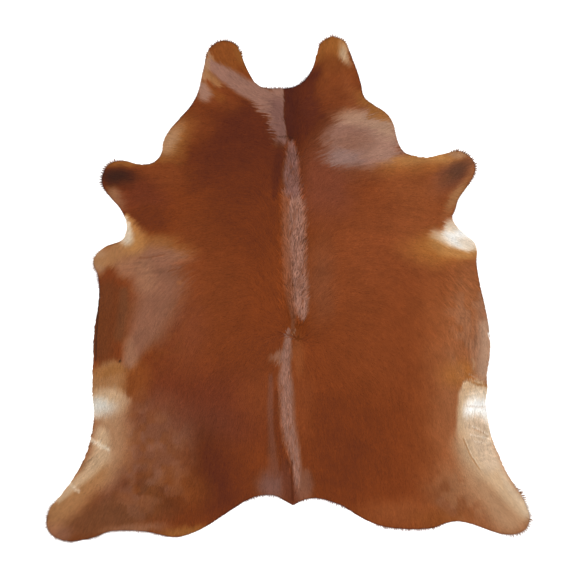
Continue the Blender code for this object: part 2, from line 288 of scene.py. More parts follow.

# Soft patches, laid one over the other: name, colour, x, y, half length, half width, turn in degrees,
# softness, strength. The half length runs along the turn, counted from +X.
# Rows named sheen are painted sheen, and rows named glint are painted highlights: light that the glossy hair
# reflects.
PATCHES = (
    ("right side of the back", "rust light", 0.46, 0.15, 0.40, 0.30, 0, 1.2, 1.0),
    ("right side of the back, low", "rust warm", 0.47, -0.22, 0.26, 0.24, 0, 1.3, 0.8),
    ("left side of the back", "rust warm", -0.36, 0.05, 0.15, 0.26, 0, 1.4, 0.8),
    ("beside the left flank", "rust light", -0.42, 0.00, 0.06, 0.18, 0, 1.4, 0.6),
    ("behind the left flank, plum", "red brown", -0.45, -0.20, 0.09, 0.14, 0, 1.4, 0.45),
    ("upper back, left", "dark chestnut", -0.20, 0.62, 0.25, 0.17, 0, 1.3, 1.0),
    ("upper back, far left", "chestnut", -0.38, 0.54, 0.10, 0.07, 0, 1.4, 0.6),
    ("upper back, low left", "dark chestnut", -0.37, 0.53, 0.12, 0.06, 10, 1.4, 0.5),
    ("upper back, bottom", "dark chestnut", -0.20, 0.47, 0.16, 0.05, 0, 1.5, 0.35),
    ("middle of the back, left", "chestnut", -0.17, 0.38, 0.20, 0.24, 0, 1.5, 0.7),
    ("back, right of the ridge", "mauve umber", 0.145, 0.03, 0.060, 0.17, 0, 1.4, 0.40),
    ("lower back, left", "rust red", -0.33, -0.52, 0.26, 0.16, 0, 1.4, 0.9),
    ("loins, left", "plum brown", -0.40, -0.59, 0.16, 0.10, -10, 1.4, 0.8),
    ("loins, far left", "rust red", -0.54, -0.47, 0.08, 0.12, 0, 1.4, 0.55),
    ("rump, left", "dark chestnut", -0.33, -0.81, 0.10, 0.19, 18, 1.4, 0.95),
    ("rump, by the tail", "chestnut", -0.18, -0.83, 0.07, 0.08, 0, 1.4, 0.5),
    ("rump, right", "chestnut", 0.24, -0.70, 0.15, 0.24, 0, 1.5, 0.65),
    ("loins, left of the strip", "rust warm", -0.10, -0.46, 0.12, 0.12, 0, 1.5, 0.7),
    ("loins, right of the strip", "rust light", 0.06, -0.50, 0.05, 0.14, 0, 1.4, 0.7),
    ("neck, right", "dark chestnut", 0.09, 0.76, 0.11, 0.16, 0, 1.2, 1.0),
    ("below the neck, right", "red brown", 0.16, 0.46, 0.12, 0.16, 0, 1.3, 0.9),
    ("neck, left", "dark chestnut", -0.19, 0.74, 0.12, 0.08, -35, 1.3, 0.9),
    ("left shoulder", "rust warm", -0.40, 0.70, 0.08, 0.07, 20, 1.4, 0.6),
    ("left shoulder, edge", "golden brown", -0.50, 0.63, 0.12, 0.06, 60, 1.4, 0.8),
    ("left shoulder, glint", "tan", -0.51, 0.645, 0.08, 0.035, 63, 1.5, 0.9),
    ("left shoulder, low", "chestnut", -0.44, 0.51, 0.10, 0.06, 0, 1.4, 0.5),
    ("left cheek", "hazel", -0.26, 1.03, 0.09, 0.10, 0, 1.0, 1.0),
    ("left cheek, inner edge", "golden brown", -0.195, 1.01, 0.07, 0.020, -64, 1.4, 0.6),
    ("left cheek, lower", "rust light", -0.30, 0.84, 0.10, 0.05, -35, 1.2, 0.6),
    ("right cheek", "hazel", 0.19, 1.00, 0.09, 0.13, 0, 1.2, 0.95),
    ("right cheek, left", "amber", 0.145, 1.05, 0.050, 0.040, 70, 1.4, 0.5),
    ("right cheek, tip", "amber", 0.22, 1.06, 0.05, 0.04, -20, 1.4, 0.8),
    ("right cheek, glint", "beige", 0.247, 1.02, 0.045, 0.016, -62, 1.4, 0.9),
    ("right cheek, middle", "rust warm", 0.21, 0.88, 0.08, 0.09, 0, 1.3, 0.8),
    ("right cheek, inner edge", "dark chestnut", 0.095, 0.90, 0.08, 0.035, 55, 1.2, 0.95),
    ("right cheek, outer edge", "orange brown", 0.28, 0.84, 0.09, 0.030, -66, 1.4, 0.6),
    ("right shoulder, top edge", "golden brown", 0.39, 0.79, 0.10, 0.026, -32, 1.4, 0.9),
    # Painted sheen on the right shoulder, where the lying hair reflects the light, inside a darker mauve halo.
    ("right shoulder, halo", "mauve umber", 0.33, 0.64, 0.18, 0.14, 0, 1.1, 0.7),
    ("right shoulder, sheen", "mauve", 0.330, 0.645, 0.160, 0.118, -4, 0.5, 0.95),
    ("right shoulder, sheen, right", "mauve pale", 0.41, 0.67, 0.07, 0.09, 0, 1.3, 0.9),
    ("right shoulder, sheen, top", "blush", 0.310, 0.745, 0.095, 0.034, -6, 1.4, 0.75),
    ("right shoulder, sheen, middle", "mauve brown", 0.29, 0.63, 0.09, 0.05, 0, 1.5, 0.4),
    ("right shoulder, sheen, low", "mauve pale", 0.43, 0.585, 0.11, 0.030, -6, 1.4, 0.7),
    ("right shoulder, sheen, low left", "lilac", 0.245, 0.565, 0.085, 0.046, 0, 1.1, 0.9),
    ("right shoulder, sheen, outer", "blush", 0.425, 0.695, 0.055, 0.032, -35, 1.3, 0.8),
    ("right shoulder, outer edge", "golden brown", 0.395, 0.768, 0.085, 0.022, -38, 1.3, 0.85),
    ("left foreleg", "rust warm", -0.58, 0.50, 0.14, 0.06, 0, 1.3, 0.9),
    ("left foreleg, top edge", "golden brown", -0.68, 0.55, 0.15, 0.018, 2, 1.4, 0.8),
    ("left foreleg, dark halo", "deep brown", -0.715, 0.468, 0.105, 0.056, -8, 1.3, 0.75),
    ("left foreleg, dark", "black brown", -0.735, 0.482, 0.066, 0.036, -10, 1.4, 0.9),
    ("left foreleg, pale", "tan", -0.738, 0.396, 0.050, 0.024, -42, 1.4, 0.8),
    ("left foreleg, behind", "rust red", -0.63, 0.395, 0.10, 0.07, 0, 1.4, 0.8),
    ("left armpit, behind", "chestnut", -0.60, 0.31, 0.09, 0.05, 0, 1.4, 0.9),
    ("left armpit, halo", "golden brown", -0.60, 0.205, 0.12, 0.040, 0, 1.4, 0.9),
    ("left flank, top", "honey", -0.72, 0.165, 0.12, 0.040, 0, 1.2, 0.95),
    ("left flank, top, tan", "tan", -0.825, 0.125, 0.040, 0.065, 0, 1.2, 0.95),
    ("left flank, top, low", "honey", -0.77, 0.120, 0.09, 0.028, 0, 1.2, 0.9),
    ("left flank, top, inner", "golden brown", -0.50, 0.175, 0.09, 0.030, 0, 1.4, 0.5),
    ("left flank, top, pale", "fawn", -0.54, 0.145, 0.11, 0.035, 0, 1.3, 0.85),
    ("left flank, tan", "honey", -0.785, -0.40, 0.095, 0.085, 90, 0.5, 0.95),
    ("left flank, tan, inner", "hazel", -0.66, -0.42, 0.06, 0.10, 0, 1.3, 0.7),
    ("left flank, tan, top", "golden brown", -0.78, -0.355, 0.08, 0.025, 0, 1.4, 0.6),
    ("left thigh, sheen, top", "mauve dark", -0.50, -0.59, 0.12, 0.08, 0, 1.4, 0.20),
    ("left thigh, sheen", "mauve umber", -0.60, -0.70, 0.15, 0.19, -4, 1.3, 0.90),
    ("left thigh, sheen, tail", "mauve umber", -0.73, -0.90, 0.09, 0.11, 12, 1.3, 0.9),
    ("left thigh, amber", "copper", -0.71, -0.62, 0.05, 0.10, 0, 1.4, 0.7),
    ("left flank, beige", "beige", -0.775, -0.510, 0.090, 0.080, 0, 0.7, 0.85),
    ("left flank, white", "ash", -0.815, -0.522, 0.070, 0.042, 0, 1.2, 0.95),
    ("left thigh, bright", "hazel", -0.47, -0.86, 0.12, 0.07, -12, 1.4, 0.5),
    ("left thigh, dark", "dark chestnut", -0.585, -0.915, 0.14, 0.075, -28, 1.3, 0.9),
    ("left thigh, low dusk", "cocoa", -0.64, -0.935, 0.14, 0.050, -5, 1.4, 0.75),
    ("left thigh, dusk", "umber", -0.60, -0.87, 0.05, 0.05, 0, 1.4, 0.8),
    ("left hind leg, low", "umber", -0.76, -0.99, 0.20, 0.08, 6, 1.4, 0.9),
    ("left buttock, edge", "golden brown", -0.45, -1.055, 0.11, 0.022, 8, 1.4, 0.9),
    ("left hind foot", "umber", -0.93, -1.03, 0.13, 0.07, 0, 1.4, 0.8),
    ("left hind foot, tip", "honey", -1.03, -0.97, 0.040, 0.09, 10, 1.4, 0.8),
    ("left hind foot, end", "mauve brown", -1.01, -1.06, 0.07, 0.04, 0, 1.3, 0.7),
    ("left hind foot, top", "honey", -0.95, -0.93, 0.12, 0.06, 40, 1.4, 0.9),
    ("right flank", "orange brown", 0.745, -0.12, 0.155, 0.36, 0, 1.4, 1.0),
    ("right flank, outer", "copper", 0.80, -0.20, 0.09, 0.30, 0, 1.4, 0.8),
    ("right thigh, inner", "orange brown", 0.73, -0.66, 0.15, 0.36, 0, 1.5, 0.9),
    ("right thigh, middle", "copper", 0.78, -0.64, 0.12, 0.40, 8, 1.4, 0.9),
    ("right thigh, low", "copper", 0.82, -0.93, 0.20, 0.12, -20, 1.4, 0.6),
    ("right flank, ochre", "amber", 0.77, -0.37, 0.10, 0.06, 0, 1.4, 0.7),
    ("right foreleg", "amber", 0.60, 0.54, 0.18, 0.045, 6, 1.3, 0.85),
    ("right foreleg, top edge", "ochre", 0.60, 0.566, 0.13, 0.030, 5, 1.4, 1.0),
    ("right foreleg, tip", "copper", 0.80, 0.54, 0.035, 0.06, 0, 1.4, 0.9),
    ("right foreleg, low edge", "honey", 0.74, 0.40, 0.09, 0.026, 58, 1.4, 0.95),
    ("right foreleg, dark halo", "mauve dark", 0.695, 0.480, 0.090, 0.055, 42, 1.3, 0.95),
    ("right foreleg, dark", "grey brown", 0.720, 0.502, 0.056, 0.036, 45, 1.5, 0.95),
    ("right foreleg, top, tan", "tan", 0.735, 0.592, 0.045, 0.016, -15, 1.4, 0.8),
    ("behind the right foreleg", "orange brown", 0.55, 0.46, 0.14, 0.08, 0, 1.4, 0.7),
    ("beside the right armpit", "orange brown", 0.59, 0.28, 0.13, 0.14, 0, 1.4, 0.6),
    ("right flank, top, halo", "amber", 0.68, 0.18, 0.15, 0.07, 0, 1.4, 0.9),
    ("right flank, top", "ochre", 0.75, 0.185, 0.13, 0.058, -6, 0.6, 0.95),
    ("right armpit, ivory", "ivory", 0.740, 0.214, 0.096, 0.038, -10, 1.0, 0.9),
    ("right armpit, white", "white", 0.760, 0.230, 0.072, 0.050, -12, 0.8, 1.0),
    ("right armpit, white, top", "cream", 0.712, 0.272, 0.028, 0.030, 0, 1.2, 0.85),
    ("right armpit, cream", "cream", 0.790, 0.200, 0.050, 0.024, -20, 1.3, 0.8),
    ("right thigh, shade", "umber", 0.70, -0.92, 0.10, 0.08, -30, 1.4, 0.50),
    ("right buttock", "orange brown", 0.50, -0.98, 0.18, 0.06, 0, 1.4, 0.8),
    ("right buttock, edge", "hazel", 0.66, -1.00, 0.12, 0.04, 0, 1.4, 0.6),
    ("left thigh, dusk all over", "umber", -0.63, -0.78, 0.26, 0.24, 0, 1.4, 0.20),
    ("left hind leg, bottom edge", "fawn", -0.67, -1.045, 0.12, 0.018, 4, 1.4, 0.7),
    ("beside the tail, left", "mauve plum", -0.065, -0.86, 0.060, 0.065, 0, 1.4, 0.85),
    ("beside the tail, right", "mauve plum", 0.060, -0.86, 0.040, 0.065, 0, 1.4, 0.8),
    # Painted sheen on the loins, left of the strip.
    ("loins, left patch", "mauve pale", -0.030, -0.288, 0.040, 0.028, 20, 1.2, 0.65),
    ("loins, right patch", "orange brown", 0.042, -0.28, 0.024, 0.085, 0, 1.4, 0.8),
)

# Patches that are broken up into clouds: name, colour, x, y, half length, half width, turn, size of a
# cloud, strength
CLOUDS = (
    ("left thigh, pale clouds", "mauve brown", -0.62, -0.76, 0.17, 0.24, -8, 0.040, 0.55),
    ("left thigh, brown clouds", "hazel", -0.63, -0.74, 0.15, 0.22, -8, 0.030, 0.40),
    ("left flank, brown clouds", "hazel", -0.60, -0.10, 0.14, 0.22, 8, 0.034, 0.40),
    ("right flank, pale clouds", "fawn", 0.80, -0.18, 0.09, 0.22, 0, 0.034, 0.50),
    ("right thigh, pale clouds", "tan", 0.80, -0.86, 0.14, 0.14, -40, 0.036, 0.35),
)

# Stripes of colour along a path: name, colour, softness, strength, [(x, y, half width), ...]
# Rows named sheen are painted sheen, the light that the glossy hair reflects.
STRIPES = (
    ("left neck sheen", "mauve", 0.7, 1.0, [
        (-0.35, 0.99, 0.022), (-0.30, 0.95, 0.031), (-0.245, 0.915, 0.037), (-0.195, 0.88, 0.038),
        (-0.14, 0.855, 0.043), (-0.09, 0.82, 0.050), (-0.06, 0.78, 0.044), (-0.045, 0.73, 0.032),
        (-0.03, 0.67, 0.020), (-0.025, 0.64, 0.012),
    ]),
    ("left neck sheen, right", "mauve", 0.8, 1.0, [
        (-0.045, 0.89, 0.030), (-0.035, 0.78, 0.026), (-0.026, 0.68, 0.016),
    ]),
    ("left neck sheen, low", "mauve plum", 1.4, 0.9, [(-0.045, 0.80, 0.03), (-0.030, 0.65, 0.03)]),
    ("left cheek, edge", "tan", 1.3, 0.8, [
        (-0.345, 1.02, 0.014), (-0.36, 0.95, 0.018), (-0.37, 0.90, 0.016),
    ]),
    ("left cheek, ochre", "honey", 1.3, 0.8, [(-0.35, 0.935, 0.014), (-0.31, 0.895, 0.016)]),
    ("left cheek, wedge", "hazel", 1.2, 0.75, [
        (-0.37, 0.905, 0.007), (-0.34, 0.87, 0.013), (-0.29, 0.83, 0.020),
    ]),
    ("left cheek, edge sheen", "mauve pale", 1.2, 0.9, [(-0.375, 0.88, 0.022), (-0.36, 0.845, 0.030)]),
    # Painted shade on the right side of the fold along the neck, whose left side carries the painted sheen.
    ("shade right of the neck crease", "deep brown", 0.35, 0.95, [
        (0.001, 0.88, 0.020), (0.001, 0.75, 0.020), (0.013, 0.67, 0.016),
    ]),
    ("shade right of the neck crease, soft", "deep brown", 1.5, 0.60, [
        (0.022, 0.88, 0.026), (0.022, 0.75, 0.026), (0.028, 0.67, 0.022),
    ]),
    ("left flank sheen", "mauve brown", 1.3, 0.95, [
        (-0.57, 0.09, 0.10), (-0.555, 0.02, 0.10), (-0.575, -0.07, 0.095), (-0.61, -0.16, 0.080),
        (-0.665, -0.25, 0.045), (-0.69, -0.31, 0.030),
    ]),
    ("left flank sheen, pale", "fawn", 1.4, 0.8, [
        (-0.71, 0.09, 0.04), (-0.64, 0.09, 0.05), (-0.62, 0.03, 0.05),
    ]),
    ("left flank sheen, low", "tan", 1.5, 0.28, [(-0.695, -0.23, 0.022), (-0.685, -0.31, 0.034)]),
    ("left flank, between", "umber", 1.4, 0.8, [
        (-0.715, -0.01, 0.022), (-0.72, -0.10, 0.026), (-0.735, -0.20, 0.026),
    ]),
    ("left flank dark", "cocoa", 1.5, 0.9, [
        (-0.785, -0.01, 0.045), (-0.79, -0.05, 0.050), (-0.815, -0.16, 0.060), (-0.81, -0.26, 0.050),
    ]),
    ("left armpit, ochre", "ochre", 1.5, 0.9, [
        (-0.70, 0.32, 0.010), (-0.68, 0.27, 0.026), (-0.665, 0.225, 0.040), (-0.67, 0.20, 0.045),
    ]),
    ("left armpit, cream", "cream", 1.4, 0.9, [
        (-0.71, 0.31, 0.008), (-0.70, 0.27, 0.018), (-0.70, 0.22, 0.028),
    ]),
    ("left thigh, tan", "tan", 1.2, 0.85, [
        (-0.78, -0.62, 0.080), (-0.79, -0.72, 0.085), (-0.82, -0.78, 0.080),
    ]),
    ("left hind leg, tan", "honey", 1.3, 0.95, [
        (-0.84, -0.80, 0.06), (-0.90, -0.86, 0.055), (-0.98, -0.93, 0.05),
    ]),
    ("left thigh, pale edge", "beige", 1.4, 0.85, [
        (-0.81, -0.63, 0.030), (-0.81, -0.72, 0.040), (-0.87, -0.80, 0.025), (-0.94, -0.86, 0.020),
        (-1.00, -0.92, 0.012),
    ]),
    ("left thigh streak", "cream", 1.4, 0.8, [
        (-0.855, -0.655, 0.008), (-0.82, -0.675, 0.010), (-0.78, -0.70, 0.007),
    ]),
    ("left hind leg streak", "cream", 1.4, 0.6, [(-0.95, -0.845, 0.006), (-0.91, -0.88, 0.007)]),
    ("right flank edge sheen", "fawn", 1.3, 0.8, [
        (0.85, -0.03, 0.020), (0.85, -0.15, 0.040), (0.85, -0.27, 0.055), (0.85, -0.355, 0.040),
    ]),
    ("right flank edge, pale", "blush", 1.4, 0.9, [
        (0.86, -0.16, 0.026), (0.87, -0.24, 0.036), (0.86, -0.36, 0.034),
    ]),
    ("right flank, beige belt", "beige", 0.3, 0.95, [
        (0.790, -0.430, 0.036), (0.815, -0.470, 0.074), (0.822, -0.530, 0.086), (0.822, -0.610, 0.086),
    ]),
    ("right flank, cream belt", "cream", 0.7, 0.9, [(0.835, -0.500, 0.066), (0.845, -0.560, 0.080)]),
    ("right flank, white belt", "white", 0.8, 1.0, [(0.822, -0.532, 0.056), (0.880, -0.540, 0.056)]),
    ("right hind leg", "tan", 1.2, 1.0, [
        (0.79, -0.68, 0.07), (0.83, -0.78, 0.08), (0.90, -0.87, 0.085), (0.97, -0.98, 0.09),
    ]),
    ("right hind leg, beige", "beige", 1.3, 0.95, [
        (0.81, -0.62, 0.060), (0.83, -0.70, 0.065), (0.87, -0.77, 0.055), (0.92, -0.83, 0.040),
        (0.97, -0.90, 0.035), (1.03, -0.96, 0.035),
    ]),
    ("right hind leg, sand", "sand", 1.4, 0.9, [
        (0.82, -0.60, 0.045), (0.84, -0.68, 0.045), (0.88, -0.76, 0.035),
    ]),
    ("right hind leg, pale rim", "cream", 1.4, 0.30, [
        (0.87, -0.64, 0.020), (0.91, -0.74, 0.018), (0.96, -0.86, 0.014), (1.02, -0.93, 0.018),
        (1.045, -0.98, 0.018),
    ]),
    # Painted sheen down the ridge of the back, where the hair that meets along the spine reflects the light.
    ("ridge of the back", "mauve", 0.9, 0.95, [
        (0.030, 0.42, 0.020), (0.034, 0.36, 0.034), (0.034, 0.30, 0.042), (0.036, 0.20, 0.040),
        (0.040, 0.10, 0.038), (0.048, 0.02, 0.036), (0.052, -0.05, 0.036), (0.058, -0.09, 0.030),
        (0.063, -0.125, 0.014),
    ]),
    ("ridge, left side", "mauve umber", 1.4, 0.7, [
        (-0.012, 0.42, 0.014), (-0.010, 0.25, 0.018), (0.000, 0.05, 0.020), (0.010, -0.04, 0.018),
        (0.020, -0.11, 0.010),
    ]),
    ("ridge, end", "mauve umber", 1.4, 0.7, [
        (0.030, -0.09, 0.012), (0.024, -0.14, 0.010), (0.020, -0.18, 0.008),
    ]),
    ("ridge, front", "mauve plum", 0.8, 0.95, [
        (0.012, 0.635, 0.010), (0.018, 0.58, 0.026), (0.012, 0.50, 0.034), (0.020, 0.43, 0.036),
    ]),
    ("left of the ridge", "deep brown", 1.4, 0.6, [
        (-0.035, 0.63, 0.014), (-0.045, 0.54, 0.020), (-0.055, 0.46, 0.018), (-0.060, 0.40, 0.012),
    ]),
    # Painted sheen along the strip of the loins, where the hair that meets along the spine reflects the light.
    ("loin strip", "mauve", 1.1, 0.95, [
        (0.002, -0.20, 0.012), (-0.006, -0.27, 0.022), (-0.009, -0.33, 0.020), (-0.014, -0.38, 0.028),
        (-0.008, -0.43, 0.030), (-0.002, -0.57, 0.030), (0.014, -0.66, 0.030), (0.030, -0.73, 0.024),
        (0.040, -0.80, 0.020), (0.050, -0.86, 0.020),
    ]),
    ("loins, faint strip", "mauve dark", 1.5, 0.75, [
        (-0.074, -0.38, 0.010), (-0.077, -0.50, 0.014), (-0.070, -0.66, 0.016), (-0.056, -0.80, 0.030),
    ]),
    ("tail root, right", "mauve umber", 1.4, 0.8, [(0.075, -0.80, 0.02), (0.07, -0.89, 0.03)]),
    ("loin strip, shadow", "chestnut", 1.2, 0.75, [
        (-0.052, -0.44, 0.008), (-0.050, -0.60, 0.013), (-0.036, -0.70, 0.014), (-0.020, -0.78, 0.014),
    ]),
    ("loin strip, shadow by the tail", "plum brown", 1.4, 0.8, [
        (-0.016, -0.76, 0.022), (-0.002, -0.84, 0.026), (0.010, -0.91, 0.030),
    ]),
    # Painted shade in the crease of the rump.
    ("rump crease", "deep brown", 1.2, 0.65, [
        (0.018, -0.745, 0.003), (0.016, -0.82, 0.004), (0.020, -0.92, 0.006),
    ]),
)

# Where patches end in long combed points: name, x, y, half length, half width, turn, reach
COMBED = (
    ("left neck", -0.12, 0.74, 0.10, 0.13, 0, 0.010),
    ("right shoulder", 0.31, 0.65, 0.26, 0.18, 0, 0.010),
    ("ridge", 0.03, 0.20, 0.42, 0.09, 90, 0.007),
    ("left flank", -0.48, 0.00, 0.22, 0.12, 80, 0.008),
    ("loins", 0.00, -0.55, 0.36, 0.08, 90, 0.008),
    ("cheek with the sheen", -0.29, 0.95, 0.10, 0.08, -35, 0.008),
)

# Fine marks that the combing doesn't draw out: name, colour, softness, strength, [(x, y, half width), ...]
MARKS = (
    # Painted shade inside a small hole in the left flank.
    ("shade in a small hole, left flank", "black brown", 0.7, 0.9, [(-0.732, -0.313, 0.005), (-0.729, -0.314, 0.005)]),
    # Painted shade in the creases of the left flank.
    ("left flank, crease", "chestnut", 0.9, 0.35, [
        (-0.645, 0.136, 0.003), (-0.590, 0.140, 0.003), (-0.537, 0.150, 0.002),
    ]),
    ("left flank, short crease", "chestnut", 0.9, 0.35, [(-0.520, 0.078, 0.003), (-0.485, 0.086, 0.003)]),
    ("left flank, spot", "copper", 0.9, 0.7, [(-0.474, 0.028, 0.010), (-0.470, 0.028, 0.010)]),
    ("left flank, dark rim", "black brown", 0.9, 0.6, [
        (-0.823, 0.015, 0.003), (-0.822, -0.05, 0.003), (-0.828, -0.13, 0.004), (-0.835, -0.22, 0.004),
        (-0.836, -0.31, 0.003),
    ]),
    # Painted shade in the parting of the ridge's hair.
    ("ridge, parting", "cocoa", 0.9, 0.55, [
        (0.024, 0.20, 0.003), (0.020, 0.06, 0.004), (0.021, -0.06, 0.004), (0.026, -0.13, 0.003),
    ]),
    ("right flank, nick", "white", 0.9, 0.8, [(0.872, -0.192, 0.003), (0.874, -0.206, 0.003)]),
    # Painted shade in the fold along the neck.
    ("neck crease", "deep brown", 0.9, 0.5, [
        (0.000, 0.75, 0.002), (0.002, 0.70, 0.003), (0.004, 0.668, 0.004),
    ]),
    ("nick below the neck", "black brown", 0.9, 0.6, [
        (-0.040, 0.664, 0.002), (0.000, 0.664, 0.003), (0.025, 0.652, 0.003),
    ]),
    ("whorl", "blush", 1.2, 0.5, [(0.033, -0.176, 0.002), (0.026, -0.190, 0.003), (0.012, -0.198, 0.002)]),
    # Painted shade in a crease across the white patch.
    ("right white patch, crease", "tan", 0.9, 0.30, [(0.778, -0.509, 0.003), (0.859, -0.513, 0.003)]),
    ("right flank, crescent", "tan", 0.9, 0.7, [
        (0.800, -0.300, 0.004), (0.812, -0.322, 0.005), (0.806, -0.345, 0.004),
    ]),
    # Painted shade in a curved crease of the right hind leg.
    ("right hind leg, curved crease", "golden brown", 0.9, 0.40, [
        (0.761, -0.648, 0.002), (0.792, -0.722, 0.003), (0.835, -0.787, 0.002),
    ]),
    # Painted highlight on the lit side of that crease.
    ("right hind leg, highlight beside the crease", "cream", 0.9, 0.45, [
        (0.768, -0.646, 0.002), (0.799, -0.720, 0.002), (0.842, -0.783, 0.002),
    ]),
    # Painted highlights on the crests of the hind leg's folds, and painted shade in the hollow of one.
    ("right hind leg, first fold", "ivory", 0.9, 0.6, [
        (0.800, -0.597, 0.002), (0.835, -0.612, 0.002), (0.872, -0.632, 0.002),
    ]),
    ("right hind leg, second fold", "ivory", 0.9, 0.6, [
        (0.790, -0.632, 0.002), (0.832, -0.640, 0.002), (0.878, -0.652, 0.002),
    ]),
    ("right hind leg, third fold", "ivory", 0.9, 0.5, [
        (0.810, -0.662, 0.002), (0.850, -0.668, 0.002), (0.895, -0.664, 0.002),
    ]),
    ("right hind leg, shaded fold", "honey", 0.9, 0.5, [
        (0.805, -0.606, 0.002), (0.838, -0.621, 0.002), (0.870, -0.640, 0.002),
    ]),
    # Painted highlight on a fold above the white patch, and its painted shade below.
    ("right flank, fold above the white", "blush", 0.9, 0.7, [
        (0.782, -0.368, 0.002), (0.820, -0.386, 0.003), (0.866, -0.400, 0.002),
    ]),
    ("right flank, fold's shade", "golden brown", 0.9, 0.6, [
        (0.790, -0.400, 0.005), (0.830, -0.416, 0.006), (0.868, -0.420, 0.005),
    ]),
    ("right hind leg, smudge", "mauve brown", 0.9, 0.25, [(0.665, -0.925, 0.020), (0.720, -0.975, 0.018)]),
    # Painted shade in a crease of the right armpit.
    ("right armpit, crease", "tan", 0.9, 0.6, [(0.745, 0.262, 0.003), (0.790, 0.225, 0.003)]),
)

# Wrinkles: name, centre x and y, half length and half width of the place, turn of the crests in degrees,
# spacing, height
RIPPLES = (
    ("right flank, upright waves", 0.770, -0.190, 0.130, 0.090, 84.0, 0.010, 0.0003),
    ("right flank, slanting waves", 0.740, 0.000, 0.110, 0.090, -52.0, 0.009, 0.0003),
    ("right hind leg, waves", 0.850, -0.620, 0.080, 0.050, -20.0, 0.010, 0.0003),
    ("right hind leg, low waves", 0.870, -0.700, 0.080, 0.050, 18.0, 0.010, 0.0003),
    ("right thigh, waves", 0.800, -0.420, 0.080, 0.060, 10.0, 0.012, 0.0003),
    ("left flank, waves", -0.600, 0.100, 0.150, 0.060, 6.0, 0.012, 0.0002),
    ("left hind leg, waves", -0.860, -0.720, 0.080, 0.060, 40.0, 0.012, 0.0003),
)

# Where longer hair stands up: name, spacing of the tufts, random seed, [(x, y, half width), ...]
TUFT_LINES = (
    ("tufts of the ridge", 0.0044, 71, [
        (0.012, 0.62, 0.014), (0.020, 0.54, 0.028), (0.018, 0.42, 0.034), (0.028, 0.30, 0.042),
        (0.028, 0.06, 0.042), (0.038, -0.06, 0.036), (0.048, -0.12, 0.024), (0.046, -0.17, 0.010),
    ]),
    ("strip of the loins", 0.0070, 72, [
        (-0.004, -0.22, 0.014), (-0.012, -0.35, 0.020), (-0.006, -0.55, 0.028), (0.024, -0.72, 0.026),
        (0.040, -0.86, 0.016),
    ]),
    ("left edge of the ridge", 0.0060, 73, [
        (-0.018, 0.40, 0.012), (-0.024, 0.20, 0.014), (-0.018, -0.10, 0.014),
    ]),
)

# Where small teeth of hair stand out from the edge: name, x, y, reach, how far they stand out
BRISTLY_EDGES = (
    ("tip of the left cheek", -0.285, 1.080, 0.110, 0.0100),
    ("tip of the right cheek", 0.195, 1.095, 0.080, 0.0100),
    ("neck notch", 0.000, 0.875, 0.110, 0.0100),
    ("left knee", -0.800, 0.510, 0.090, 0.0150),
    ("right knee", 0.800, 0.550, 0.100, 0.0120),
    ("left flank, top", -0.835, 0.080, 0.080, 0.0120),
    ("left hind foot", -1.030, -1.040, 0.130, 0.0120),
    ("left hind foot, low", -0.780, -1.060, 0.100, 0.0110),
    ("left buttock", -0.600, -1.060, 0.080, 0.0110),
    ("root of the tail, left", -0.110, -0.900, 0.080, 0.0110),
    ("root of the tail, right", 0.160, -0.920, 0.110, 0.0110),
    ("right buttock", 0.530, -1.045, 0.150, 0.0110),
    ("right hind foot", 1.030, -0.980, 0.130, 0.0160),
)

